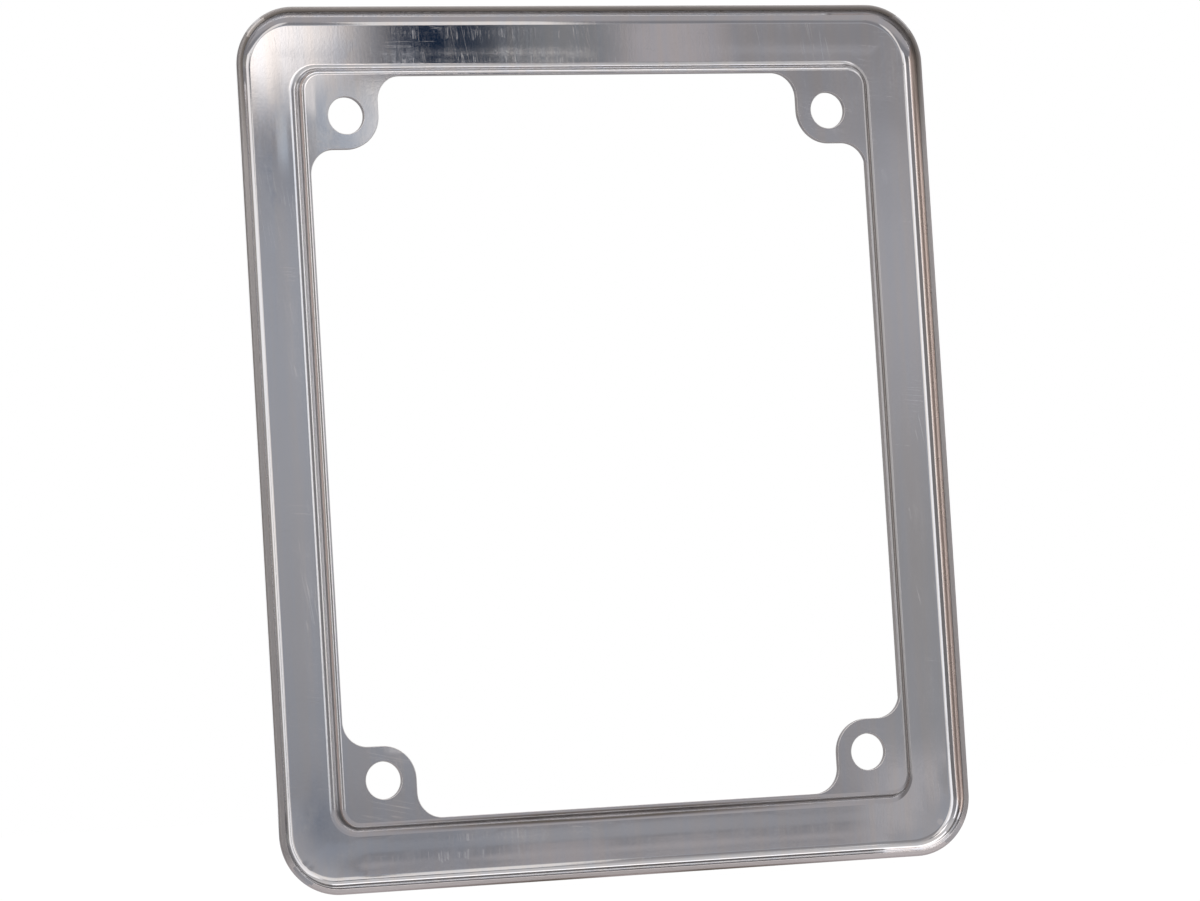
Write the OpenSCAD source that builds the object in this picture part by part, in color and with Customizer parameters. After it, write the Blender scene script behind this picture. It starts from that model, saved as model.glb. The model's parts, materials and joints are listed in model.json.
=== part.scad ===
// Number plate holder: one frame pressed from a single sheet of bright aluminium.
// A raised band runs round the plate. Its outer edge is turned back to the bracket,
// and its inner edge steps back to a narrow lip that carries one drilled ear in each corner.
// The model stands upright: X is across the plate, Z is up, and +Y is the plate's side.
// The origin is the middle of the hole pattern, on the face that meets the bracket.

/* [Plate] */
// Width of the number plate that the recess takes
plate_w = 105.5; // [80:0.5:180]
// Height of the number plate that the recess takes
plate_h = 130.5; // [80:0.5:180]
// Gap between the plate's edge and the recess wall
plate_gap = 0.35; // [0.2:0.05:2]

/* [Sheet] */
// Thickness of the sheet
sheet_t = 1.0; // [0.6:0.1:1.1]
// Width of a rail, from the outer face of the rim to the recess wall
rail_w = 12.3; // [9:0.1:20]
// How far the back of the band lies in front of the bracket face
band_depth = 2.5; // [2.5:0.1:5]

/* [Rim] */
// Inside radius of the bend between the band and the rim
rim_bend_r = 2.1; // [1:0.1:2.2]
// Radius of the rim's outer corners, seen from the front
rim_corner_r = 10.7; // [6:0.1:16]
// Rounding of the rim's outer cut edge, as a share of the sheet's thickness
rim_outer_share = 0.35; // [0.25:0.05:0.6]
// Rounding of the rim's inner cut edge, as a share of the sheet's thickness
rim_inner_share = 0.1; // [0.05:0.05:0.2]

/* [Step] */
// Inside radius at the foot of the step, where the band turns towards the bracket
step_foot_r = 1.5; // [0.4:0.1:1.5]
// Rounding of the step where it turns into the lip, as a share of the sheet's thickness
step_lip_share = 0.9; // [0.5:0.05:0.9]
// How far the recess wall stands outside the edge of the window
lip_w = 0.1; // [0.1:0.05:2.3]
// Radius of the recess wall's corners, seen from the front
recess_corner_r = 2.6; // [2.5:0.05:6]

/* [Ears] */
// Diameter of a screw hole, for M6 with normal clearance
hole_d = 6.6; // [4.5:0.1:8]
// Distance from each edge of the window to the centre of a screw hole
hole_inset = 7.0; // [5:0.1:9]
// Radius of an ear about its hole
ear_r = 6.0; // [5:0.1:8]
// Radius of the fillet between an ear and the window's edge
ear_fillet_r = 4.5; // [1:0.1:4.9]

/* [Hidden] */
$fn = 96;

// The outer rounding takes no more than this share of the rim's wall
wall_share = 0.9;
// Swept and flat lengths of the sheet run into each other by this much
run_in = 0.05;

recess_w = plate_w + 2 * plate_gap;
recess_h = plate_h + 2 * plate_gap;
holder_w = recess_w + 2 * rail_w;
holder_h = recess_h + 2 * rail_w;
window_w = recess_w - 2 * lip_w;
window_h = recess_h - 2 * lip_w;
window_corner_r = recess_corner_r - lip_w;
// The rim's wall is straight from the end of its bend to the rounding of its cut edge
rim_wall_h = band_depth - rim_bend_r;
rim_outer_edge_r = min(rim_outer_share * sheet_t, wall_share * rim_wall_h);
rim_inner_edge_r = rim_inner_share * sheet_t;
step_lip_r = step_lip_share * sheet_t;
// The back of the lip is flat from the window's edge to the start of its bend
lip_flat_w = lip_w + sheet_t - step_lip_r;
// The band is flat between these two lines, counted in from the rim and out from the window
band_from_rim = sheet_t + rim_bend_r;
band_from_window = lip_w + sheet_t + step_foot_r;
hole_x = window_w / 2 - hole_inset;
hole_z = window_h / 2 - hole_inset;

// A rounded rectangle about the origin
module rounded_plan(w, h, r) {
    square([w - 2 * r, h], center = true);
    square([w, h - 2 * r], center = true);
    for (x = [-1, 1], y = [-1, 1])
        translate([x * (w / 2 - r), y * (h / 2 - r)]) circle(r);
}

// A quarter of a bent sheet about the origin, in the quadrant that the signs give
module bend_section(inner_r, outer_r, sign_x, sign_y) {
    intersection() {
        difference() {
            circle(outer_r);
            circle(inner_r);
        }
        quadrant(outer_r, sign_x, sign_y);
    }
}

// A square from the origin out, in the quadrant that the signs give
module quadrant(side, sign_x, sign_y) {
    translate([sign_x * side / 2, sign_y * side / 2]) square(side, center = true);
}

// The rim and its bend. x runs in from the outer face, y is 0 at the bracket face
module rim_section() {
    outer_r = rim_outer_edge_r;
    inner_r = rim_inner_edge_r;
    translate([outer_r, -outer_r]) circle(outer_r);
    translate([sheet_t - inner_r, -inner_r]) circle(inner_r);
    translate([0, -rim_wall_h]) {
        square([sheet_t, rim_wall_h - outer_r]);
        translate([outer_r, 0]) square([sheet_t - outer_r, rim_wall_h - inner_r]);
        translate([outer_r, 0]) square([sheet_t - outer_r - inner_r, rim_wall_h]);
    }
    translate([band_from_rim, -rim_wall_h])
        bend_section(rim_bend_r, rim_bend_r + sheet_t, -1, -1);
    translate([band_from_rim, -band_depth - sheet_t]) square([run_in, sheet_t]);
}

// The step between the lip and the band. x runs out from the window's edge
module step_section() {
    translate([lip_flat_w - run_in, -sheet_t]) {
        square([run_in, sheet_t]);
        square([run_in + step_lip_r, sheet_t - step_lip_r]);
    }
    translate([lip_flat_w, -step_lip_r]) intersection() {
        circle(step_lip_r);
        quadrant(step_lip_r, 1, 1);
    }
    translate([lip_w, step_foot_r - band_depth])
        square([sheet_t, band_depth - step_foot_r - step_lip_r]);
    translate([band_from_window, step_foot_r - band_depth])
        bend_section(step_foot_r, step_foot_r + sheet_t, -1, -1);
    translate([band_from_window, -band_depth - sheet_t]) square([run_in, sheet_t]);
}

// Sweeps a section round a w by h rectangle with corner radius r. The section's own x
// is counted inwards from the rectangle where inwards is true, and outwards where it isn't
module swept_ring(w, h, r, inwards) {
    side = inwards ? -1 : 1;
    for (turn = [0, 180]) {
        rotate(turn) translate([w / 2, 0]) straight_run(h - 2 * r, side) children();
        rotate(turn + 90) translate([h / 2, 0]) straight_run(w - 2 * r, side) children();
    }
    for (x = [0, 1], y = [0, 1])
        mirror([x, 0, 0]) mirror([0, y, 0])
            translate([w / 2 - r, h / 2 - r])
                rotate_extrude(angle = 90) translate([r, 0]) mirror([inwards ? 1 : 0, 0]) children();
}

// A straight length of the section along Y, centred
module straight_run(length, side) {
    translate([0, length / 2, 0]) rotate([90, 0, 0])
        linear_extrude(length) mirror([side < 0 ? 1 : 0, 0]) children();
}

// The flat band between the rim's bend and the foot of the step
module band_plan() {
    difference() {
        rounded_plan(holder_w - 2 * band_from_rim, holder_h - 2 * band_from_rim,
            rim_corner_r - band_from_rim);
        rounded_plan(window_w + 2 * band_from_window, window_h + 2 * band_from_window,
            window_corner_r + band_from_window);
    }
}

// One ear in the corner at the plus end of both axes, with its two fillets, undrilled
module ear_plan() {
    side = hole_inset + ear_r;
    translate([window_w / 2, window_h / 2]) {
        translate([-hole_inset, -hole_inset]) circle(ear_r);
        translate([-side, -hole_inset]) square([side, hole_inset]);
        translate([-hole_inset, -side]) square([hole_inset, side]);
        ear_fillet_plan(side);
        mirror([1, -1]) ear_fillet_plan(side);
    }
}

// The corner between an ear's side and the window's upper edge
module ear_fillet_plan(side) {
    translate([-side - ear_fillet_r, -ear_fillet_r]) difference() {
        square(ear_fillet_r);
        circle(ear_fillet_r);
    }
}

// The lip and its four drilled ears, as they are punched
module lip_plan() {
    difference() {
        rounded_plan(window_w + 2 * lip_flat_w, window_h + 2 * lip_flat_w,
            window_corner_r + lip_flat_w);
        difference() {
            rounded_plan(window_w, window_h, window_corner_r);
            for (x = [0, 1], y = [0, 1]) mirror([x, 0]) mirror([0, y]) ear_plan();
        }
        for (x = [-1, 1], y = [-1, 1]) translate([x * hole_x, y * hole_z]) circle(d = hole_d);
    }
}

module holder_frame() {
    color("silver") rotate([90, 0, 0]) union() {
        swept_ring(holder_w, holder_h, rim_corner_r, true) rim_section();
        translate([0, 0, -band_depth - sheet_t]) linear_extrude(sheet_t) band_plan();
        swept_ring(window_w, window_h, window_corner_r, false) step_section();
        translate([0, 0, -sheet_t]) linear_extrude(sheet_t) lip_plan();
    }
}

holder_frame();
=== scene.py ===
# Number plate holder: a frame pressed from bright aluminium sheet, seen from its hollow back.
# Sizes are in metres. X runs across the frame, Z is up, and the viewer stands on the -Y side.
import json
import math

import bmesh
import bpy
from mathutils import Matrix, Vector, noise


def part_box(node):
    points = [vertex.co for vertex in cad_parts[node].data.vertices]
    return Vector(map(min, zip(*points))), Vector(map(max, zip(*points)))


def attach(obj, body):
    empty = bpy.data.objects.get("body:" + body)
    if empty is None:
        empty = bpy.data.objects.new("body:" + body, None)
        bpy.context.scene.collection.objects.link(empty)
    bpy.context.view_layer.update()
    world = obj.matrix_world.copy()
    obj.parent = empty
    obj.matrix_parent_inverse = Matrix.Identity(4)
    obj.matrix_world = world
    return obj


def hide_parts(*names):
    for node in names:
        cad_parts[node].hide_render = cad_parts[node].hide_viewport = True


MM = 0.001

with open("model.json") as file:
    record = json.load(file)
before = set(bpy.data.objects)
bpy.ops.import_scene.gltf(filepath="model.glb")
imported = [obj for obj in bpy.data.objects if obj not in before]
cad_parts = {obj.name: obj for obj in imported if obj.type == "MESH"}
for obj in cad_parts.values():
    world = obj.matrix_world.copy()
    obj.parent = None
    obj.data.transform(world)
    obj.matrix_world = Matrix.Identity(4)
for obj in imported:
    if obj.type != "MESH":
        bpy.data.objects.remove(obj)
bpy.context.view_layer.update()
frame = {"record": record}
mounts = {mount["name"]: mount for mount in frame["record"]["mounts"]}
ear_holes = mounts["ear_holes"]["dims"]

# The pressed sheet, as in the construction model
NODE_LOW, NODE_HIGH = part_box("holder_frame")
HALF_W = NODE_HIGH[0]
HALF_H = NODE_HIGH[2]
SHEET_T = mounts["plate_seat"]["pos_m"][1]
DEPTH = NODE_HIGH[1]
BAND_BACK = DEPTH - SHEET_T
RIM_BEND_R = 2.1 * MM
RIM_CORNER_R = 10.7 * MM
RIM_OUTER_EDGE_R = 0.35 * MM
RIM_INNER_EDGE_R = 0.1 * MM
STEP_FOOT_R = 1.5 * MM
STEP_LIP_R = 0.9 * MM
LIP_W = 0.1 * MM
LIP_FLAT_W = LIP_W + SHEET_T - STEP_LIP_R
WINDOW_CORNER_R = 2.5 * MM
HOLE_INSET = 7.0 * MM
EAR_R = 6.0 * MM
EAR_FILLET_R = 4.5 * MM
PUNCHED_BACK_R = 0.12 * MM
PUNCHED_FRONT_R = 0.05 * MM

HOLE_R = ear_holes["hole_r_mm"] * MM
HOLE_X = ear_holes["spacing_x_mm"] * MM / 2
HOLE_Z = ear_holes["spacing_y_mm"] * MM / 2
WINDOW_X = HOLE_X + HOLE_INSET
WINDOW_Z = HOLE_Z + HOLE_INSET

# How finely the surfaces are divided
BEND_STEPS = 14
EDGE_STEPS = 4
CORNER_STEPS = 28
SIDE_STEPS = 30
HOLE_STEPS = 96
ARC_STEPS = 20
BAND_CUTS = 7
MERGE = 0.002 * MM
FLAT_LIMIT = 0.99999
SHARP_COSINE = 0.7

# How far the flat band wanders from true, and how long its waves are
WARP = 0.05 * MM
WARP_LENGTH = 22 * MM

# How far the band rises to its bend in the lower corners, how far in that starts, and its share elsewhere
FLARE = 0.20 * MM
FLARE_REACH = 6.0 * MM
FLARE_SIDES = 0.1

# Where the extra rise of the lower corners starts before a corner's round, and how soon it is full
FLARE_LEAD = 6 * MM
FLARE_BLEND = 9 * MM

# The frame's mesh has two finishes: the sheet's, and that of its cut edges
CUT_EDGE_SLOT = 1

# Colours of the sheet, of its cut edges and of what lies on them, with painted shade, painted reflections
# and a painted highlight among them
WHITE = (1, 1, 1, 1)
BLACK = (0, 0, 0, 1)
COOL_SHEET = (0.785, 0.80, 0.83, 1)
WARM_SHEET = (0.82, 0.805, 0.80, 1)
RUBBED_SHEET = (0.93, 0.93, 0.94, 1)
# A bluish painted reflection, in soft patches and mottling on the left
BLUE_REFLECTION_TINT = (0.60, 0.65, 0.73, 1)
SCRATCH_GREY = (0.60, 0.60, 0.61, 1)
# A dull painted shade on the step's right bends
RIGHT_BEND_SHADE = (0.34, 0.335, 0.335, 1)
# A warm painted reflection, low on the left step and inside the right rim
WARM_REFLECTION = (0.92, 0.77, 0.69, 1)
# Brown painted shade, inside the top rim, in the step's crease and on the top cut edges
SHADE_BROWN = (0.16, 0.14, 0.12, 1)
DULL_EDGE = (0.48, 0.46, 0.45, 1)
BRIGHT_EDGE = (0.62, 0.60, 0.59, 1)
WINDOW_EDGE = (0.80, 0.785, 0.78, 1)
# A pinkish painted highlight on the cut edges at the frame's foot
FOOT_HIGHLIGHT_EDGE = (0.95, 0.90, 0.89, 1)

# Noise patterns of the finish, in waves per metre along X, Y and Z
CLOUD_WAVES = (150, 150, 90)
GRAIN_WAVES = (3000, 3000, 260)
SPECKLE_WAVES = (2100, 2100, 1500)
STREAK_WAVES = (420, 420, 14)
SCRATCH_WAVES = (1100, 1100, 40)
SCRATCH_BREAK_WAVES = (230, 230, 120)
TICK_WAVES = (2600, 300, 90)
TICK_END_WAVES = (1400, 300, 200)
SHEET_WAVES = (70, 70, 70)
SHEAR_WAVES = (2600, 500, 2600)

# The noise values between which a mark comes in, and the least share of the grain
GRAIN_IN_CLOUDS = (0.35, 0.6)
GRAIN_LEAST = 0.25
TICKS_IN_WAVES = (0.55, 0.64)
SCUFFS_IN_STREAKS = (0.42, 0.6)
MOTTLING_IN_CLOUDS = (0.42, 0.58)
TONE_IN_STREAKS = (0.35, 0.65)
GLOSS_IN_CLOUDS = (0.3, 0.7)

# How far the noise may be from its middle on a scratch, and how soon a scratch fades at its ends
SCRATCH_WIDTH = 0.008
SCRATCH_END = 0.1

# Where an oval patch fades out, as shares of its half width and height
PATCH_FALL = (0.3, 1.0)

# Rows of press ticks, in millimetres: the row's height, its middle, its reach each way, the ticks' length
TICK_ROWS = [(73.3, -16, 22, 1.9), (68.3, -15, 25, 1.7), (-72.4, -32, 16, 1.8), (-69.3, -26, 12, 1.4)]

# Where a tick fades at its ends, and where its row does past its reach, in millimetres
TICK_END = (0, 0.25)
TICK_ROW_END = (-12, 4)

# Soft ovals, in millimetres: across, up, half width, half height. The bluish and the mottled ones are
# painted reflection
SCUFFS = [(-55.3, -44, 2.0, 11), (-44, -53.0, 5.5, 1.4), (-52, 62, 2.2, 5)]
BLUE_TINT_PATCHES = [(-57, 49, 5, 9), (-38, -71, 20, 6), (-57.5, -62, 3, 8)]
MOTTLED = [(-47, 58, 10, 10), (-38, 70, 16, 6), (-58, 52, 6, 16), (-58, -68, 9, 9)]
SCRATCHED_EARS = [(-43, -53, 9, 4), (-46, -63.5, 8, 3), (-47, 54, 7, 4), (46, 58, 7, 7), (47, -58, 7, 7)]
STREAKED = [(-28, 70, 20, 6), (-42, -70, 20, 6)]

# Kinds of scratch: the lean from upright in degrees, how sparse, how strong, and the ovals that it keeps to
SCRATCH_KINDS = [(9, 0.58, 0.6, None), (84, 0.58, 0.6, None), (76, 0.42, 1.0, SCRATCHED_EARS),
                 (90, 0.5, 0.4, STREAKED)]

# How far off a flat face the sheet's marks have faded, and the step's bend marks, with their painted shade,
# have begun, in millimetres
FLAT_FALL = (0.02, 0.2)
BEND_START = (0.0005, 0.008)

# The painted shade inside the rim: in from the outline, up, and off the bracket's face, in millimetres, and
# the share of it that lies on the outline
RIM_SHADE_RISE = (0.1, 0.85)
RIM_SHADE_FALL = (1.02, 1.45)
RIM_SHADE_UP = (45, 70)
RIM_SHADE_DEPTH = (1.2, 1.8)
RIM_SHADE_EDGE = 0.25

# How far past the window's edge the step's marks end, in millimetres
STEP_FALL = (2.4, 3.0)

# Heights of the step's painted shade and of the warm painted reflection off the bracket's face, in
# millimetres
STEP_SHADE_RISE = (0.1, 0.8)
STEP_SHADE_FALL = (1.5, 2.3)
LEFT_LINE_RISE = (0.85, 1.15)
LEFT_LINE_FALL = (1.35, 1.8)
WARM_LINE_RISE = (0.22, 0.42)
WARM_LINE_FALL = (0.7, 1.0)
WARM_RIM_DEPTH = (2.2, 2.5)

# The warm painted reflection inside the right rim, in millimetres in from its outer face
WARM_RIM_RISE = (0.9, 0.98)
WARM_RIM_FALL = (1.45, 1.8)

# How far the parts of the step's painted shade and painted reflection reach in from the window's edges, and
# how strong they are
LEFT_REACH = 2 * MM
FOOT_SHADE_REACH = 7 * MM
HEAD_SHADE_REACH = 4 * MM
RIGHT_SHADE_IN = 1 * MM
RIGHT_SHADE_OUT = 0.4 * MM
RIGHT_SHADE = 0.75
HEAD_SHADE = 0.1
LEFT_LINE_SHADE = 0.85
WARM_LINE_STRENGTH = 0.8

# What lies on the sheet, from the lowest layer up: its colour, and how far each mark brings it out. The
# bluish and the warm layers are painted reflection, and the last two are painted shade
SHEET_LAYERS = [(BLUE_REFLECTION_TINT, {"stains": 0.4, "mottling": 0.6}),
                (RUBBED_SHEET, {"ticks": 0.5, "scuffs": 1.0}),
                (SCRATCH_GREY, {"scratches": 0.3}),
                (WARM_REFLECTION, {"warm_film": 1.0}),
                (RIGHT_BEND_SHADE, {"dull_film": 0.85}),
                (SHADE_BROWN, {"dirt": 0.8})]

# The clean sheet's roughness, what each mark adds to it, and what each adds to the sheet's height
CLEAN_ROUGHNESS = (0.06, 0.10)
SHEET_ROUGHNESS = {"grain": 0.1, "speckle": 0.1, "scratches": 0.15, "ticks": 0.08, "scuffs": 0.1,
                   "dirt": 0.2, "step": 0.09, "warm_film": 0.2}
SHEET_HEIGHTS = {"grain": 0.0014 * MM, "speckle": 0.0032 * MM, "waves": 0.03 * MM,
                 "scratches": -0.002 * MM, "ticks": -0.0005 * MM}

# The cut edges: how far out from the window their bright part ends, and how high up the painted highlight at
# the foot ends, in millimetres, then how strong the painted shade is on them, their roughness and the height
# of the tool's marks
WINDOW_EDGE_FALL = (2, 6)
FOOT_HIGHLIGHT_FALL = (-74, -70)
EDGE_SHADE = 0.85
EDGE_CLEAN_ROUGHNESS = 0.26
EDGE_ROUGHNESS = {"marks": 0.12, "dirt": 0.15}
SHEAR_HEIGHT = 0.0008 * MM

# Soft lamps: name, bearing and height, half width and half height, all in degrees, then radiance and tint.
# A bearing is counted from straight in front of the hollow back towards -X
SOFTBOX_DISTANCE = 3.0
SOFTBOXES = [("right_softbox", -46, 6, 17, 28, 0.66, (1.0, 0.97, 0.96)),
             ("front_strip", 10, 2, 11, 24, 0.85, (1.0, 0.98, 0.98)),
             ("left_strip", 64, 4, 7, 32, 0.95, (1.0, 0.97, 0.96)),
             ("overhead_softbox", 0, 82, 26, 14, 0.8, (1.0, 0.97, 0.98)),
             ("rear_softbox", -140, 25, 14, 20, 0.9, (1.0, 1.0, 1.0))]

# Cards in front of the hollow back, in millimetres: name, distance, reach along X and Z, the fades at low X,
# high X, low Z and high Z, then the colour. Where two lie one behind the other, the nearer one hides
REFLECTORS = [("rose_card", 259, (-60, 70), (91, 200), (10, 10, 22, 10), (1.52, 1.42, 1.37)),
              ("pale_card", 256, (84, 138), (80, 150), (6, 14, 10, 10), (0.43, 0.40, 0.41)),
              ("dusk_card", 253, (46, 112), (80, 150), (6, 14, 10, 10), (0.22, 0.224, 0.237)),
              ("navy_card", 250, (10, 88), (92, 146), (46, 28, 12, 10), (0.001, 0.012, 0.036)),
              ("side_card", 248, (37, 96), (-46, 102), (2, 8, 8, 2), (0.86, 0.82, 0.80)),
              ("ear_card", 249, (24, 40), (80, 102), (3, 2, 8, 8), (0.52, 0.54, 0.58)),
              ("low_side_card", 248, (47, 96), (-62, -38), (3, 8, 8, 8), (0.72, 0.68, 0.66)),
              ("right_card", 252, (152, 196), (-100, 52), (10, 4, 4, 70), (0.31, 0.305, 0.315)),
              ("low_card", 250, (62, 94), (-100, -73), (12, 12, 4, 2), (0.38, 0.35, 0.36)),
              ("low_right_card", 250, (148, 192), (-100, -56), (10, 4, 4, 6), (0.44, 0.42, 0.43))]

# The floor. To the camera it is part glow and part diffuse, with a little more glow over both
FLOOR_SIZE = 6.0
FLOOR_GAP = 1 * MM
FLOOR_GREY = (0.8, 0.8, 0.8, 1)
FLOOR_GLOW = 0.85
FLOOR_LIFT = 0.09

# What the metal sees of the floor, by the distance from the frame's foot in millimetres. X counts half. The
# dark rings close to the foot are a painted shadow
FLOOR_RINGS = [(0, (0.36, 0.33, 0.33)), (3, (0.30, 0.27, 0.27)), (6, (0.13, 0.115, 0.10)),
               (10, (0.15, 0.13, 0.12)), (24, (0.39, 0.37, 0.38)), (220, (0.39, 0.37, 0.38)),
               (450, (0.24, 0.235, 0.25))]
FLOOR_RINGS_END = 600
FLOOR_RING_SHARES = (0.5, 1, 0)

# What the metal sees of the room, by the bearing in degrees
ROOM_COLOURS = [(-180, (0.33, 0.33, 0.34)), (-100, (0.34, 0.33, 0.32)), (-66, (0.33, 0.32, 0.31)),
                (-26, (0.415, 0.40, 0.415)), (-15, (0.37, 0.38, 0.415)), (26, (0.22, 0.21, 0.21)),
                (50, (0.21, 0.20, 0.20)), (80, (0.26, 0.235, 0.215)), (100, (0.24, 0.215, 0.195)),
                (125, (0.34, 0.30, 0.27)), (179, (0.33, 0.33, 0.34))]

# The room by the height, as its sine: the low walls are darker, then come dim ones and pale high ones.
# Straight behind the frame it is white, where the share of a ray's direction along Y is about 1
LOW_WALLS_SHARE = 0.80
LOW_WALLS_TOP = (-0.01, 0.10)
DIM_WALLS = (0.27, 0.26, 0.27, 1)
DIM_WALLS_FOOT = (0.105, 0.142)
HIGH_WALLS = (0.64, 0.62, 0.62, 1)
HIGH_WALLS_FOOT = (0.22, 0.85)
WHITE_BEHIND = (0.965, 0.99)

CAMERA_PLACE = Vector((-313.9, -838.1, -60.3)) * MM
CAMERA_AIM = Vector((-2.2, 0.0, -2.2)) * MM
CAMERA_ROLL = math.radians(3.44)
CAMERA_LENS = 150.8
CAMERA_SENSOR = 36
CAMERA_NEAR = 0.01


def arc(centre, radius, start, end, steps):
    """Points on an arc from start to end degrees, both ends included."""
    turn = [math.radians(start + (end - start) * i / steps) for i in range(steps + 1)]
    return [(centre[0] + radius * math.cos(a), centre[1] + radius * math.sin(a)) for a in turn]


def rim_profile():
    """The rim's whole section: (distance in from the outer face, Y), from the band's back to its front."""
    wall = BAND_BACK - RIM_BEND_R
    centre = (SHEET_T + RIM_BEND_R, wall)
    inner = arc(centre, RIM_BEND_R, 90, 180, BEND_STEPS)
    inner_edge = arc((SHEET_T - RIM_INNER_EDGE_R, RIM_INNER_EDGE_R), RIM_INNER_EDGE_R, 0, -90, EDGE_STEPS)
    outer_edge = arc((RIM_OUTER_EDGE_R, RIM_OUTER_EDGE_R), RIM_OUTER_EDGE_R, -90, -180, EDGE_STEPS)
    outer = arc(centre, RIM_BEND_R + SHEET_T, 180, 90, BEND_STEPS)
    return inner + inner_edge + outer_edge + outer


def step_profile(front):
    """One face of the step: (distance out from the window's edge, Y), from the band to the lip."""
    foot_centre = (LIP_W + SHEET_T + STEP_FOOT_R, BAND_BACK - STEP_FOOT_R)
    if front:
        return arc(foot_centre, STEP_FOOT_R + SHEET_T, 90, 180, BEND_STEPS)
    return (arc(foot_centre, STEP_FOOT_R, 90, 180, BEND_STEPS)
            + arc((LIP_FLAT_W, STEP_LIP_R), STEP_LIP_R, 0, -90, BEND_STEPS))


def chain(bm, points):
    """Joins points with edges, and returns the vertices and edges."""
    verts = [bm.verts.new(point) for point in points]
    edges = [bm.edges.new(pair) for pair in zip(verts, verts[1:])]
    return verts, edges


def only(kind, geometry):
    """The vertices alone, or the edges alone, of mixed geometry."""
    return [item for item in geometry if isinstance(item, kind)]


def once_each(items):
    """The items without repeats, in the order in which they come."""
    return list(dict.fromkeys(items))


def push_edges(bm, geometry, step):
    """Draws edges out along a straight rail in equal steps, and returns its far end."""
    for _ in range(SIDE_STEPS):
        grown = bmesh.ops.extrude_edge_only(bm, edges=only(bmesh.types.BMEdge, geometry))["geom"]
        geometry = [item for item in grown if not isinstance(item, bmesh.types.BMFace)]
        bmesh.ops.translate(bm, vec=step, verts=only(bmesh.types.BMVert, geometry))
    return geometry


def sweep_quarter(bm, profile, half_w, half_h, corner_r, side):
    """Carries a section from the right rail's middle, round the corner, to the top rail's middle."""
    verts, edges = chain(bm, [(half_w + side * distance, y, 0) for distance, y in profile])
    run_x, run_z = half_w - corner_r, half_h - corner_r
    upright = push_edges(bm, verts + edges, Vector((0, 0, run_z / SIDE_STEPS)))
    turned = bmesh.ops.spin(bm, geom=upright, cent=(run_x, 0, run_z), axis=(0, 1, 0), angle=-math.pi / 2,
                            steps=CORNER_STEPS, use_duplicate=False)["geom_last"]
    push_edges(bm, turned, Vector((-run_x / SIDE_STEPS, 0, 0)))


def open_edges_at(bm, height):
    """The open edges that lie at one Y, without those on the two middle planes."""
    found = []
    for edge in bm.edges:
        level = all(abs(vert.co.y - height) < MERGE for vert in edge.verts)
        on_plane = any(all(abs(vert.co[axis]) < MERGE for vert in edge.verts) for axis in (0, 2))
        if level and not on_plane and len(edge.link_faces) < 2:
            found.append(edge)
    return found


def bridge_band(bm, height):
    """Fills the flat band between the rim's bend and the foot of the step."""
    rims = open_edges_at(bm, height)
    made = bmesh.ops.bridge_loops(bm, edges=rims)
    rim_set = set(rims)
    across = once_each(edge for face in made["faces"] for edge in face.edges if edge not in rim_set)
    bmesh.ops.subdivide_edges(bm, edges=across, cuts=BAND_CUTS, use_grid_fill=True)


def punched_outline(offset, y):
    """A quarter of the window's outline with its ear, moved into the metal by offset."""
    ear_side = HOLE_INSET + EAR_R
    top_fillet = (WINDOW_X - ear_side - EAR_FILLET_R, WINDOW_Z - EAR_FILLET_R)
    side_fillet = (WINDOW_X - EAR_FILLET_R, WINDOW_Z - ear_side - EAR_FILLET_R)
    outline = [(0.0, WINDOW_Z + offset)]
    outline += arc(top_fillet, EAR_FILLET_R + offset, 90, 0, ARC_STEPS)
    outline += arc((HOLE_X, HOLE_Z), EAR_R - offset, 180, 270, ARC_STEPS)
    outline += arc(side_fillet, EAR_FILLET_R + offset, 90, 0, ARC_STEPS)
    outline.append((WINDOW_X + offset, 0.0))
    return [(x, y, z) for x, z in outline]


def punched_section():
    """The section of a punched edge: (distance into the metal, Y), from the back to the front."""
    back, front = PUNCHED_BACK_R, PUNCHED_FRONT_R
    return (arc((back, back), back, -90, -180, EDGE_STEPS)
            + arc((front, SHEET_T - front), front, 180, 90, EDGE_STEPS))


def hole_ring(bm, offset, y):
    """A circle round the screw hole, offset into the metal."""
    place = Matrix.Translation((HOLE_X, y, HOLE_Z)) @ Matrix.Rotation(math.pi / 2, 4, "X")
    ring = bmesh.ops.create_circle(bm, segments=HOLE_STEPS, radius=HOLE_R + offset, matrix=place)["verts"]
    return once_each(edge for vert in ring for edge in vert.link_edges)


def add_punched_walls(bm):
    """The cut edges of the window, the ear and the hole. Returns the edges that meet each flat face."""
    section = punched_section()
    flats = []
    for make in (lambda o, y: chain(bm, punched_outline(o, y))[1], lambda o, y: hole_ring(bm, o, y)):
        rows = [make(offset, y) for offset, y in section]
        for near, far in zip(rows, rows[1:]):
            for face in bmesh.ops.bridge_loops(bm, edges=near + far)["faces"]:
                face.material_index = CUT_EDGE_SLOT
        flats.append((rows[0], rows[-1]))
    return [outer + hole for outer, hole in zip(flats[0], flats[1])]


def fill_lip(bm, cut_edges, y):
    """Fills one flat face of the lip and its ear, between the step and the cut edges."""
    cuts = set(cut_edges)
    step_edges = [edge for edge in open_edges_at(bm, y) if edge not in cuts]
    ends = []
    for axis in (0, 2):
        on_plane = [v for e in step_edges + cut_edges for v in e.verts if abs(v.co[axis]) < MERGE]
        ends.append(bm.edges.new(sorted(set(on_plane), key=lambda v: v.co.length)))
    bmesh.ops.triangle_fill(bm, edges=step_edges + cut_edges + ends, use_beauty=True, normal=(0, -1, 0))


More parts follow.
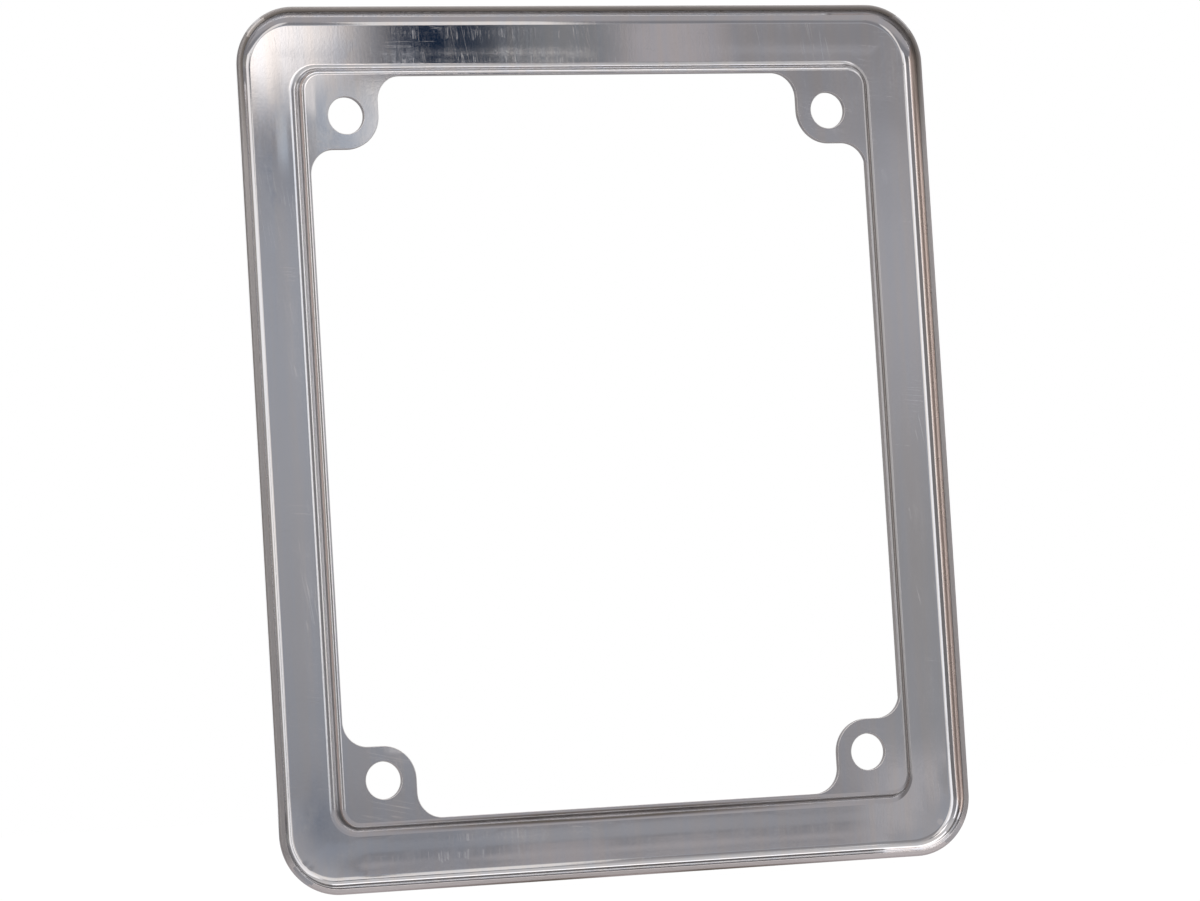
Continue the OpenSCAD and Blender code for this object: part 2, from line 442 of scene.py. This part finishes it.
def flare_at(point):
    """How far the sheet rises at the rim's bend. It rises most in the two lower corners."""
    bend = SHEET_T + RIM_BEND_R
    past = [abs(value) - half + RIM_CORNER_R for value, half in ((point.x, HALF_W), (point.z, HALF_H))]
    outside = math.hypot(max(past[0], 0), max(past[1], 0))
    inside = RIM_CORNER_R - bend - outside - min(max(past), 0)
    near_bend = max(0, 1 - max(inside, 0) / FLARE_REACH) ** 2
    reach = min(max((min(past) + FLARE_LEAD) / FLARE_BLEND, 0), 1)
    in_corner = reach * reach * (3 - 2 * reach) if point.z < 0 else 0
    return FLARE * near_bend * (FLARE_SIDES + (1 - FLARE_SIDES) * in_corner)


def warp_band(bm):
    """Lets the flat band wander a little from true and rise to its bend, as thin pressed sheet does."""
    inner_x = WINDOW_X + LIP_W + SHEET_T + STEP_FOOT_R
    inner_z = WINDOW_Z + inner_x - WINDOW_X
    width = HALF_W - SHEET_T - RIM_BEND_R - inner_x
    for vert in bm.verts:
        across = max(abs(vert.co.x) - inner_x, abs(vert.co.z) - inner_z) / width
        if across < MERGE:
            continue
        lift = flare_at(vert.co) * min(1, vert.co.y / BAND_BACK)
        if vert.co.y > BAND_BACK - MERGE and across < 1:
            lift += WARP * math.sin(math.pi * across) ** 2 * (0.5 + 0.5 * noise.noise(vert.co / WARP_LENGTH))
        vert.co.y -= lift


def corner_normals(bm):
    """The shading direction at each face corner. Flat faces stay flat, and a sharp corner stays sharp."""
    normals = []
    for face in bm.faces:
        flat = abs(face.normal.y) > FLAT_LIMIT
        for vert in face.verts:
            normals.append(face.normal if flat else bent_normal(face, vert))
    return [normal.copy() for normal in normals]


def bent_normal(face, vert):
    """On a bend, a vertex takes a flat neighbour's direction, or the mean of its smooth neighbours."""
    total = Vector()
    for near in vert.link_faces:
        if near.normal.dot(face.normal) < SHARP_COSINE:
            continue
        if abs(near.normal.y) > FLAT_LIMIT:
            return near.normal
        total += near.normal * near.calc_area()
    return total.normalized()


def finish_faces(bm):
    """Shades every face smooth, and gives the rim's cut edge the same finish as the other cut edges."""
    for face in bm.faces:
        face.smooth = True
        middle = face.calc_center_median()
        past = max(abs(middle.x) - WINDOW_X, abs(middle.z) - WINDOW_Z)
        if past > HALF_W - WINDOW_X - RIM_BEND_R and middle.y < RIM_OUTER_EDGE_R:
            face.material_index = CUT_EDGE_SLOT


def holder_mesh():
    """The whole frame: one quarter from its section, mirrored twice."""
    bm = bmesh.new()
    sweep_quarter(bm, rim_profile(), HALF_W, HALF_H, RIM_CORNER_R, -1)
    for front in (False, True):
        sweep_quarter(bm, step_profile(front), WINDOW_X, WINDOW_Z, WINDOW_CORNER_R, 1)
    bmesh.ops.remove_doubles(bm, verts=bm.verts, dist=MERGE)
    for height in (BAND_BACK, DEPTH):
        bridge_band(bm, height)
    cut_edges = add_punched_walls(bm)
    for edges, y in zip(cut_edges, (0.0, SHEET_T)):
        fill_lip(bm, edges, y)
    for axis in ("X", "Z"):
        so_far = bm.verts[:] + bm.edges[:] + bm.faces[:]
        bmesh.ops.mirror(bm, geom=so_far, matrix=Matrix(), merge_dist=MERGE, axis=axis)
    bmesh.ops.remove_doubles(bm, verts=bm.verts, dist=MERGE)
    warp_band(bm)
    bmesh.ops.recalc_face_normals(bm, faces=bm.faces)
    finish_faces(bm)
    normals = corner_normals(bm)
    mesh = bpy.data.meshes.new("pressed_frame")
    bm.to_mesh(mesh)
    bm.free()
    mesh.normals_split_custom_set(normals)
    return mesh


def add_holder(faces_finish, edges_finish):
    """The visible frame, in place of the construction model's node."""
    holder = bpy.data.objects.new("pressed_frame", holder_mesh())
    bpy.context.scene.collection.objects.link(holder)
    holder.data.materials.append(faces_finish)
    holder.data.materials.append(edges_finish)
    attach(holder, "root")
    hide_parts("holder_frame")


# Small helpers that put nodes into a tree
def node(tree, kind, **settings):
    made = tree.nodes.new(kind)
    for name, value in settings.items():
        setattr(made, name, value)
    return made


def wire(tree, source, target):
    """Joins a socket to another, or sets a plain value on it."""
    if isinstance(source, bpy.types.NodeSocket):
        tree.links.new(source, target)
    else:
        target.default_value = source


def math_node(tree, operation, *values):
    made = node(tree, "ShaderNodeMath", operation=operation)
    for value, socket in zip(values, made.inputs):
        wire(tree, value, socket)
    return made.outputs[0]


def joined_by(tree, operation, values):
    """All the values joined by one operation, from the first to the last."""
    total = values[0]
    for value in values[1:]:
        total = math_node(tree, operation, total, value)
    return total


def sum_of(tree, *values):
    return joined_by(tree, "ADD", values)


def product_of(tree, *values):
    return joined_by(tree, "MULTIPLY", values)


def weighted(tree, marks, shares):
    """The named marks added up, each times its own share."""
    return sum_of(tree, *[product_of(tree, marks[name], share) for name, share in shares.items()])


def difference_from(tree, value, centre):
    return math_node(tree, "ABSOLUTE", math_node(tree, "SUBTRACT", value, centre))


def axes_of(tree, point):
    """The X, Y and Z of a point."""
    split = node(tree, "ShaderNodeSeparateXYZ")
    wire(tree, point, split.inputs[0])
    return split.outputs


def ramp_between(tree, value, low, high, at_low=0.0, at_high=1.0):
    """Goes smoothly from at_low to at_high as the value goes from low to high."""
    made = node(tree, "ShaderNodeMapRange", interpolation_type="SMOOTHSTEP")
    for source, name in ((value, "Value"), (low, "From Min"), (high, "From Max"), (at_low, "To Min"),
                         (at_high, "To Max")):
        wire(tree, source, made.inputs[name])
    return made.outputs[0]


def ramp_over(tree, value, span, at_low=0.0, at_high=1.0):
    """The same over a span in millimetres."""
    return ramp_between(tree, value, span[0] * MM, span[1] * MM, at_low, at_high)


def ridge(tree, value, rise, fall, before=0.0, top=1.0):
    """Rises to the top over one span in millimetres, from its value before, and falls to 0 over another."""
    return product_of(tree, ramp_over(tree, value, rise, before, 1), ramp_over(tree, value, fall, top, 0))


def mix_colours(tree, factor, first, second):
    made = node(tree, "ShaderNodeMix", data_type="RGBA")
    for source, name in ((factor, "Factor"), (first, "A"), (second, "B")):
        wire(tree, source, made.inputs[name])
    return made.outputs["Result"]


def colour_ramp(tree, share, stops):
    """Runs through the stops' colours as the share goes from 0 to 1. A stop is its share and its colour."""
    ramp = node(tree, "ShaderNodeValToRGB")
    elements = ramp.color_ramp.elements
    while len(elements) < len(stops):
        elements.new(0.5)
    for element, (position, colour) in zip(elements, stops):
        element.position = position
        element.color = (*colour, 1)
    wire(tree, share, ramp.inputs[0])
    return ramp.outputs[0]


def stretched_noise(tree, place, waves, detail=2.0, roughness=0.5):
    """Noise with its own waves per metre along X, Y and Z."""
    mapping = node(tree, "ShaderNodeMapping")
    mapping.inputs["Scale"].default_value = waves
    made = node(tree, "ShaderNodeTexNoise")
    made.inputs["Scale"].default_value = 1.0
    made.inputs["Detail"].default_value = detail
    made.inputs["Roughness"].default_value = roughness
    wire(tree, place, mapping.inputs["Vector"])
    wire(tree, mapping.outputs[0], made.inputs["Vector"])
    return made.outputs["Fac"]


def glow_of(tree, colour, strength=1.0):
    made = node(tree, "ShaderNodeEmission")
    wire(tree, colour, made.inputs["Color"])
    made.inputs["Strength"].default_value = strength
    return made.outputs[0]


def mix_shaders(tree, factor, first, second):
    made = node(tree, "ShaderNodeMixShader")
    for source, socket in zip((factor, first, second), made.inputs):
        wire(tree, source, socket)
    return made.outputs[0]


def bump_of(tree, height):
    made = node(tree, "ShaderNodeBump")
    made.inputs["Distance"].default_value = 1.0
    wire(tree, height, made.inputs["Height"])
    return made.outputs[0]


def new_group(name, inputs, outputs):
    """A shader node group with named float inputs and outputs. Place is the point in metres."""
    tree = bpy.data.node_groups.new(name, "ShaderNodeTree")
    tree.interface.new_socket("Place", in_out="INPUT", socket_type="NodeSocketVector")
    for label, value in inputs.items():
        socket = tree.interface.new_socket(label, in_out="INPUT", socket_type="NodeSocketFloat")
        socket.default_value = value
    for label in outputs:
        tree.interface.new_socket(label, in_out="OUTPUT", socket_type="NodeSocketFloat")
    return tree, node(tree, "NodeGroupInput").outputs, node(tree, "NodeGroupOutput").inputs


def use_group(tree, group, place, **values):
    made = node(tree, "ShaderNodeGroup", node_tree=group)
    wire(tree, place, made.inputs["Place"])
    for label, value in values.items():
        made.inputs[label].default_value = value
    return made.outputs


def bare_tree(owner):
    """The node tree of a material or a world, emptied."""
    owner.use_nodes = True
    owner.node_tree.nodes.clear()
    return owner.node_tree


# Masks that say where on the frame a point lies
def distances_past(tree, axes, half_x, half_z):
    """How far a point lies outside a rectangle about the middle, along X and along Z."""
    return [math_node(tree, "SUBTRACT", math_node(tree, "ABSOLUTE", axes[axis]), half)
            for axis, half in (("X", half_x), ("Z", half_z))]


def past_window(tree, axes):
    return math_node(tree, "MAXIMUM", *distances_past(tree, axes, WINDOW_X, WINDOW_Z))


def step_masks(tree, axes):
    """1 on the step all round, and 1 at the left edge of the window."""
    on_step = ramp_over(tree, past_window(tree, axes), STEP_FALL, 1, 0)
    left = ramp_between(tree, axes["X"], -WINDOW_X, LEFT_REACH - WINDOW_X, 1, 0)
    return on_step, left


def depth_inside_rim(tree, axes):
    """How far a point lies inside the frame's outline, round the corners too."""
    past = distances_past(tree, axes, HALF_W - RIM_CORNER_R, HALF_H - RIM_CORNER_R)
    squares = [math_node(tree, "POWER", math_node(tree, "MAXIMUM", value, 0.0), 2.0) for value in past]
    outside = math_node(tree, "SQRT", sum_of(tree, *squares))
    within = math_node(tree, "MINIMUM", math_node(tree, "MAXIMUM", *past), 0.0)
    return math_node(tree, "SUBTRACT", math_node(tree, "SUBTRACT", RIM_CORNER_R, outside), within)


def band_flatness(tree, axes):
    """1 on the hollow side of the band, the lip and the ears, and 0 on the bends and the plate's side."""
    off_band = difference_from(tree, axes["Y"], BAND_BACK)
    off_lip = difference_from(tree, axes["Y"], 0.0)
    return ramp_over(tree, math_node(tree, "MINIMUM", off_band, off_lip), FLAT_FALL, 1, 0)


# Effects, each a node group
def rolled_grain():
    """Rolled sheet's upright grain and fine speckle, in cloudy patches, and the clouds and streaks."""
    tree, given, out = new_group("rolled_grain", {}, ["Grain", "Speckle", "Clouds", "Streaks"])
    place = given["Place"]
    clouds = stretched_noise(tree, place, CLOUD_WAVES, detail=4, roughness=0.65)
    patchy = product_of(tree, band_flatness(tree, axes_of(tree, place)),
                        ramp_between(tree, clouds, *GRAIN_IN_CLOUDS, GRAIN_LEAST, 1.0))
    fine = stretched_noise(tree, place, GRAIN_WAVES, detail=3, roughness=0.6)
    speckle = stretched_noise(tree, place, SPECKLE_WAVES, detail=3, roughness=0.7)
    for source, name in ((fine, "Grain"), (speckle, "Speckle")):
        wire(tree, product_of(tree, math_node(tree, "SUBTRACT", source, 0.5), patchy), out[name])
    wire(tree, clouds, out["Clouds"])
    wire(tree, stretched_noise(tree, place, STREAK_WAVES, detail=3), out["Streaks"])
    return tree


def fine_scratches():
    """Thin scratches in short lengths. Turn leans them away from upright, and a low Sparse gives more."""
    tree, given, out = new_group("fine_scratches", {"Turn": 0.0, "Sparse": 0.58}, ["Scratch"])
    turned = node(tree, "ShaderNodeVectorRotate", rotation_type="Y_AXIS")
    wire(tree, given["Place"], turned.inputs["Vector"])
    wire(tree, math_node(tree, "RADIANS", given["Turn"]), turned.inputs["Angle"])
    line = stretched_noise(tree, turned.outputs[0], SCRATCH_WAVES, detail=1)
    thin = ramp_between(tree, difference_from(tree, line, 0.5), 0.0, SCRATCH_WIDTH, 1, 0)
    broken = stretched_noise(tree, turned.outputs[0], SCRATCH_BREAK_WAVES)
    pieces = ramp_between(tree, math_node(tree, "SUBTRACT", broken, given["Sparse"]), 0.0, SCRATCH_END)
    flat = band_flatness(tree, axes_of(tree, given["Place"]))
    wire(tree, product_of(tree, thin, pieces, flat), out["Scratch"])
    return tree


def press_ticks():
    """Short upright ticks in a row, where the press tool's edge has rubbed the band."""
    row = {"Up": 0.0, "Middle": 0.0, "Reach": 0.02, "Length": 0.001}
    tree, given, out = new_group("press_ticks", row, ["Ticks"])
    axes = axes_of(tree, given["Place"])
    columns = stretched_noise(tree, given["Place"], TICK_WAVES, detail=3, roughness=0.75)
    thin = ramp_between(tree, columns, *TICKS_IN_WAVES)
    ragged = stretched_noise(tree, given["Place"], TICK_END_WAVES, detail=1)
    half = product_of(tree, ragged, given["Length"])
    off_row = difference_from(tree, axes["Z"], given["Up"])
    in_row = ramp_over(tree, math_node(tree, "SUBTRACT", half, off_row), TICK_END)
    off_middle = difference_from(tree, axes["X"], given["Middle"])
    in_reach = ramp_over(tree, math_node(tree, "SUBTRACT", off_middle, given["Reach"]), TICK_ROW_END, 1, 0)
    wire(tree, product_of(tree, thin, in_row, in_reach, band_flatness(tree, axes)), out["Ticks"])
    return tree


def worn_patch():
    """A soft oval about a point of the hollow side, for scuffs and for bluish painted reflection."""
    oval = {"Across": 0.0, "Up": 0.0, "Width": 0.01, "Height": 0.01}
    tree, given, out = new_group("worn_patch", oval, ["Patch"])
    axes = axes_of(tree, given["Place"])
    squares = []
    for axis, centre, half in (("X", "Across", "Width"), ("Z", "Up", "Height")):
        off = math_node(tree, "SUBTRACT", axes[axis], given[centre])
        squares.append(math_node(tree, "POWER", math_node(tree, "DIVIDE", off, given[half]), 2.0))
    radius = math_node(tree, "SQRT", sum_of(tree, *squares))
    soft = ramp_between(tree, radius, *PATCH_FALL, 1, 0)
    wire(tree, product_of(tree, soft, band_flatness(tree, axes)), out["Patch"])
    return tree


def corner_dirt():
    """Brown painted shade along the inside of the rim, at the top of the hollow side and round its upper
    corners.
    """
    tree, given, out = new_group("corner_dirt", {}, ["Dirt"])
    axes = axes_of(tree, given["Place"])
    line = ridge(tree, depth_inside_rim(tree, axes), RIM_SHADE_RISE, RIM_SHADE_FALL, before=RIM_SHADE_EDGE)
    near_top = ramp_over(tree, axes["Z"], RIM_SHADE_UP)
    in_hollow = ramp_over(tree, axes["Y"], RIM_SHADE_DEPTH, 1, 0)
    wire(tree, product_of(tree, line, near_top, in_hollow), out["Dirt"])
    return tree


def crease_dirt():
    """Painted shade in the step: thick at the foot, ever less from right to left, and a trace along the top.
    On the left there is a thin line of it too, in the crease."""
    tree, given, out = new_group("crease_dirt", {}, ["Dirt"])
    axes = axes_of(tree, given["Place"])
    on_step, left = step_masks(tree, axes)
    wide = ridge(tree, axes["Y"], STEP_SHADE_RISE, STEP_SHADE_FALL)
    sides = ramp_between(tree, axes["X"], -WINDOW_X, WINDOW_X, 0, RIGHT_SHADE)
    foot = ramp_between(tree, axes["Z"], -WINDOW_Z, FOOT_SHADE_REACH - WINDOW_Z, 1, 0)
    head = ramp_between(tree, axes["Z"], WINDOW_Z - HEAD_SHADE_REACH, WINDOW_Z, 1, HEAD_SHADE)
    line = ridge(tree, axes["Y"], LEFT_LINE_RISE, LEFT_LINE_FALL, top=LEFT_LINE_SHADE)
    spread = product_of(tree, wide, math_node(tree, "MAXIMUM", sides, foot))
    dirt = math_node(tree, "MAXIMUM", spread, product_of(tree, line, left))
    wire(tree, product_of(tree, dirt, on_step, head), out["Dirt"])
    return tree


def step_film():
    """Bends marks the bends of the step all round, and the second output the ones on the right, for a dull
    painted shade.
    Warm marks a warm painted reflection, in a line low on the left step and inside the right rim."""
    tree, given, out = new_group("step_film", {}, ["Bends", "Film", "Warm"])
    axes = axes_of(tree, given["Place"])
    on_step, left = step_masks(tree, axes)
    off_band = math_node(tree, "SUBTRACT", BAND_BACK, axes["Y"])
    below_band, above_lip = (ramp_over(tree, value, BEND_START) for value in (off_band, axes["Y"]))
    bent = product_of(tree, below_band, above_lip, on_step)
    wire(tree, bent, out["Bends"])
    right = ramp_between(tree, axes["X"], WINDOW_X - RIGHT_SHADE_IN, WINDOW_X + RIGHT_SHADE_OUT)
    wire(tree, product_of(tree, bent, right), out["Film"])
    low_line = ridge(tree, axes["Y"], WARM_LINE_RISE, WARM_LINE_FALL, top=WARM_LINE_STRENGTH)
    on_left = product_of(tree, left, low_line, bent)
    in_from_rim = math_node(tree, "SUBTRACT", HALF_W, axes["X"])
    rim_wall = ridge(tree, in_from_rim, WARM_RIM_RISE, WARM_RIM_FALL)
    in_rim = product_of(tree, rim_wall, ramp_over(tree, axes["Y"], WARM_RIM_DEPTH, 1, 0))
    wire(tree, math_node(tree, "MAXIMUM", on_left, in_rim), out["Warm"])
    return tree


# The two finishes of the frame
def new_metal(name):
    """A metal material, with its tree, its shader and the point in the frame's own metres."""
    material = bpy.data.materials.new(name)
    material.use_nodes = True
    tree = material.node_tree
    shader = tree.nodes["Principled BSDF"]
    shader.inputs["Metallic"].default_value = 1.0
    return material, tree, shader, node(tree, "ShaderNodeTexCoord").outputs["Object"]


def patches(tree, groups, place, ovals):
    """All the oval patches of one kind, worn ones and painted reflection alike, as one mask."""
    return sum_of(tree, *[use_group(tree, groups["patch"], place, Across=across * MM, Up=up * MM,
                                    Width=width * MM, Height=height * MM)["Patch"]
                          for across, up, width, height in ovals])


def all_ticks(tree, groups, place):
    """The rows of press ticks, as one mask."""
    return sum_of(tree, *[use_group(tree, groups["ticks"], place, Up=up * MM, Middle=middle * MM,
                                    Reach=reach * MM, Length=length * MM)["Ticks"]
                          for up, middle, reach, length in TICK_ROWS])


def all_scratches(tree, groups, place):
    """The scratches of every kind, as one mask."""
    strongest = 0.0
    for turn, sparse, strength, ovals in SCRATCH_KINDS:
        kind = use_group(tree, groups["scratches"], place, Turn=turn, Sparse=sparse)["Scratch"]
        if ovals:
            kind = product_of(tree, patches(tree, groups, place, ovals), kind)
        strongest = math_node(tree, "MAXIMUM", strongest, product_of(tree, kind, strength))
    return strongest


def sheet_marks(tree, groups, place, grain):
    """Every mark of the sheet as a mask, by its name."""
    film = use_group(tree, groups["film"], place)
    return {
        "grain": grain["Grain"],
        "speckle": grain["Speckle"],
        "waves": stretched_noise(tree, place, SHEET_WAVES, detail=1),
        "scratches": all_scratches(tree, groups, place),
        "ticks": all_ticks(tree, groups, place),
        "scuffs": product_of(tree, patches(tree, groups, place, SCUFFS),
                             ramp_between(tree, grain["Streaks"], *SCUFFS_IN_STREAKS)),
        "stains": patches(tree, groups, place, BLUE_TINT_PATCHES),
        "mottling": product_of(tree, patches(tree, groups, place, MOTTLED),
                               ramp_between(tree, grain["Clouds"], *MOTTLING_IN_CLOUDS)),
        "dirt": math_node(tree, "MAXIMUM", use_group(tree, groups["rim_dirt"], place)["Dirt"],
                          use_group(tree, groups["step_dirt"], place)["Dirt"]),
        "step": film["Bends"],
        "dull_film": film["Film"],
        "warm_film": film["Warm"],
    }


def polished_aluminium(groups):
    """Bright rolled sheet: upright grain in cloudy patches, press ticks, scuffs, scratches, bluish painted
    reflection.
    Painted shade lies inside the top rim, in the step and on its right bends, and a warm painted reflection
    on parts of the step and the rim."""
    material, tree, shader, place = new_metal("polished_aluminium")
    grain = use_group(tree, groups["grain"], place)
    marks = sheet_marks(tree, groups, place, grain)
    tone = ramp_between(tree, grain["Streaks"], *TONE_IN_STREAKS)
    colour = mix_colours(tree, tone, COOL_SHEET, WARM_SHEET)
    for layer, shares in SHEET_LAYERS:
        colour = mix_colours(tree, weighted(tree, marks, shares), colour, layer)
    wire(tree, colour, shader.inputs["Base Color"])
    clean = ramp_between(tree, grain["Clouds"], *GLOSS_IN_CLOUDS, *CLEAN_ROUGHNESS)
    wire(tree, sum_of(tree, clean, weighted(tree, marks, SHEET_ROUGHNESS)), shader.inputs["Roughness"])
    wire(tree, bump_of(tree, weighted(tree, marks, SHEET_HEIGHTS)), shader.inputs["Normal"])
    return material


def sheared_edge(groups):
    """The cut edges of the sheet: duller, with the tool's marks across the thickness, and painted shade at
    the top.
    They are brighter round the window, and brightest at the foot of the frame, where a painted highlight
    lies."""
    material, tree, shader, place = new_metal("sheared_edge")
    dirt = use_group(tree, groups["rim_dirt"], place)["Dirt"]
    marks = stretched_noise(tree, place, SHEAR_WAVES, detail=2)
    axes = axes_of(tree, place)
    at_window = ramp_over(tree, past_window(tree, axes), WINDOW_EDGE_FALL, 1, 0)
    at_foot = ramp_over(tree, axes["Z"], FOOT_HIGHLIGHT_FALL, 1, 0)
    colour = mix_colours(tree, marks, DULL_EDGE, BRIGHT_EDGE)
    # The bright part round the window, then a painted highlight at the foot
    for mask, layer in ((at_window, WINDOW_EDGE), (at_foot, FOOT_HIGHLIGHT_EDGE)):
        colour = mix_colours(tree, mask, colour, layer)
    colour = mix_colours(tree, product_of(tree, dirt, EDGE_SHADE), colour, SHADE_BROWN)
    wire(tree, colour, shader.inputs["Base Color"])
    roughness = weighted(tree, {"marks": marks, "dirt": dirt}, EDGE_ROUGHNESS)
    wire(tree, sum_of(tree, EDGE_CLEAN_ROUGHNESS, roughness), shader.inputs["Roughness"])
    wire(tree, bump_of(tree, product_of(tree, marks, SHEAR_HEIGHT)), shader.inputs["Normal"])
    return material


# The studio
def aim(bearing, height):
    """The direction of a bearing and a height, in degrees."""
    turn, rise = math.radians(bearing), math.radians(height)
    return Vector((-math.sin(turn) * math.cos(rise), -math.cos(turn) * math.cos(rise), math.sin(rise)))


def add_softbox(name, bearing, height, spread, rise, radiance, tint):
    """A soft lamp, whose spread and rise are counted from its middle. The camera doesn't see it."""
    width, tall = (2 * SOFTBOX_DISTANCE * math.tan(math.radians(angle)) for angle in (spread, rise))
    lamp = bpy.data.lights.new(name, "AREA")
    lamp.shape = "RECTANGLE"
    lamp.size = width
    lamp.size_y = tall
    lamp.color = tint
    lamp.energy = radiance * math.pi * width * tall
    body = bpy.data.objects.new(name, lamp)
    away = aim(bearing, height)
    body.location = away * SOFTBOX_DISTANCE
    body.rotation_euler = away.to_track_quat("Z", "Y").to_euler()
    body.visible_camera = False
    bpy.context.scene.collection.objects.link(body)


def placed(name, bm, material):
    """A new piece of the scene with the shape and the material."""
    mesh = bpy.data.meshes.new(name)
    bm.to_mesh(mesh)
    bm.free()
    mesh.materials.append(material)
    piece = bpy.data.objects.new(name, mesh)
    bpy.context.scene.collection.objects.link(piece)
    return piece


def card_finish(name, span_x, span_z, fades, colour):
    """A plain glow that fades out to clear at the card's edges."""
    material = bpy.data.materials.new(name)
    tree = bare_tree(material)
    axes = axes_of(tree, node(tree, "ShaderNodeTexCoord").outputs["Object"])
    sides = []
    for axis, (low, high), (low_fade, high_fade) in (("X", span_x, fades[:2]), ("Z", span_z, fades[2:])):
        sides.append(ridge(tree, axes[axis], (low, low + low_fade), (high - high_fade, high)))
    clear = node(tree, "ShaderNodeBsdfTransparent").outputs[0]
    face = mix_shaders(tree, product_of(tree, *sides), clear, glow_of(tree, (*colour, 1)))
    wire(tree, face, node(tree, "ShaderNodeOutputMaterial").inputs["Surface"])
    return material


def add_reflector(name, distance, span_x, span_z, fades, colour):
    """A card in front of the hollow back, which the metal alone mirrors."""
    bm = bmesh.new()
    bmesh.ops.create_grid(bm, x_segments=1, y_segments=1, size=0.5)
    bmesh.ops.scale(bm, vec=(span_x[1] - span_x[0], span_z[1] - span_z[0], 1), verts=bm.verts)
    bmesh.ops.rotate(bm, cent=(0, 0, 0), matrix=Matrix.Rotation(math.pi / 2, 3, "X"), verts=bm.verts)
    bmesh.ops.translate(bm, vec=(sum(span_x) / 2, -distance, sum(span_z) / 2), verts=bm.verts)
    bmesh.ops.scale(bm, vec=(MM, MM, MM), verts=bm.verts)
    card = placed(name, bm, card_finish(name, span_x, span_z, fades, colour))
    for ray in ("camera", "diffuse", "transmission", "volume_scatter", "shadow"):
        setattr(card, "visible_" + ray, False)


def pale_floor():
    """White to the camera, with the frame's shadow. The metal sees it glow in rings about the frame's foot,
    dark close by as a painted shadow.
    """
    material = bpy.data.materials.new("pale_floor")
    tree = bare_tree(material)
    narrowed = node(tree, "ShaderNodeVectorMath", operation="MULTIPLY")
    wire(tree, node(tree, "ShaderNodeTexCoord").outputs["Object"], narrowed.inputs[0])
    wire(tree, FLOOR_RING_SHARES, narrowed.inputs[1])
    away = node(tree, "ShaderNodeVectorMath", operation="LENGTH")
    wire(tree, narrowed.outputs[0], away.inputs[0])
    share = math_node(tree, "DIVIDE", away.outputs["Value"], FLOOR_RINGS_END * MM)
    rings = colour_ramp(tree, share, [(reach / FLOOR_RINGS_END, colour) for reach, colour in FLOOR_RINGS])
    diffuse = node(tree, "ShaderNodeBsdfDiffuse")
    diffuse.inputs["Color"].default_value = FLOOR_GREY
    path = node(tree, "ShaderNodeLightPath")
    in_metal = mix_shaders(tree, path.outputs["Is Glossy Ray"], diffuse.outputs[0], glow_of(tree, rings))
    to_camera = node(tree, "ShaderNodeAddShader")
    wire(tree, mix_shaders(tree, FLOOR_GLOW, diffuse.outputs[0], glow_of(tree, WHITE)), to_camera.inputs[0])
    wire(tree, glow_of(tree, WHITE, FLOOR_LIFT), to_camera.inputs[1])
    wire(tree, mix_shaders(tree, path.outputs["Is Camera Ray"], in_metal, to_camera.outputs[0]),
         node(tree, "ShaderNodeOutputMaterial").inputs["Surface"])
    return material


def add_floor():
    bm = bmesh.new()
    bmesh.ops.create_grid(bm, x_segments=1, y_segments=1, size=FLOOR_SIZE / 2)
    bmesh.ops.translate(bm, vec=(0, 0, NODE_LOW[2] - FLOOR_GAP), verts=bm.verts)
    floor = placed("floor", bm, pale_floor())


def add_world():
    """White to the camera. The metal sees a grey room that changes with the bearing and the height."""
    world = bpy.data.worlds.new("grey_room")
    bpy.context.scene.world = world
    tree = bare_tree(world)
    axes = axes_of(tree, node(tree, "ShaderNodeTexCoord").outputs["Generated"])
    bearing = math_node(tree, "ARCTAN2", product_of(tree, axes["X"], -1), product_of(tree, axes["Y"], -1))
    turn = math_node(tree, "DIVIDE", sum_of(tree, bearing, math.pi), 2 * math.pi)
    round_room = colour_ramp(tree, turn, [((angle + 180) / 360, colour) for angle, colour in ROOM_COLOURS])
    low_share = ramp_between(tree, axes["Z"], *LOW_WALLS_TOP, LOW_WALLS_SHARE, 1)
    colour = mix_colours(tree, low_share, BLACK, round_room)
    for axis, span, layer in (("Z", DIM_WALLS_FOOT, DIM_WALLS), ("Z", HIGH_WALLS_FOOT, HIGH_WALLS),
                              ("Y", WHITE_BEHIND, WHITE)):
        colour = mix_colours(tree, ramp_between(tree, axes[axis], *span), colour, layer)
    path = node(tree, "ShaderNodeLightPath")
    seen = math_node(tree, "MAXIMUM", path.outputs["Is Camera Ray"], path.outputs["Is Transmission Ray"])
    background = node(tree, "ShaderNodeBackground")
    wire(tree, mix_colours(tree, seen, colour, WHITE), background.inputs["Color"])
    wire(tree, background.outputs[0], node(tree, "ShaderNodeOutputWorld").inputs["Surface"])


def add_camera():
    data = bpy.data.cameras.new("camera")
    data.lens = CAMERA_LENS
    data.sensor_width = CAMERA_SENSOR
    data.clip_start = CAMERA_NEAR
    camera = bpy.data.objects.new("camera", data)
    camera.location = CAMERA_PLACE
    look = (CAMERA_PLACE - CAMERA_AIM).to_track_quat("Z", "Y")
    camera.rotation_euler = (look.to_matrix() @ Matrix.Rotation(-CAMERA_ROLL, 3, "Z")).to_euler()
    bpy.context.scene.collection.objects.link(camera)
    bpy.context.scene.camera = camera


add_camera()
add_world()
for softbox in SOFTBOXES:
    add_softbox(*softbox)
for reflector in REFLECTORS:
    add_reflector(*reflector)
add_floor()
finish_groups = {"grain": rolled_grain(), "scratches": fine_scratches(), "ticks": press_ticks(),
                 "patch": worn_patch(), "rim_dirt": corner_dirt(), "step_dirt": crease_dirt(),
                 "film": step_film()}
add_holder(polished_aluminium(finish_groups), sheared_edge(finish_groups))
bpy.context.scene.view_settings.view_transform = "Standard"
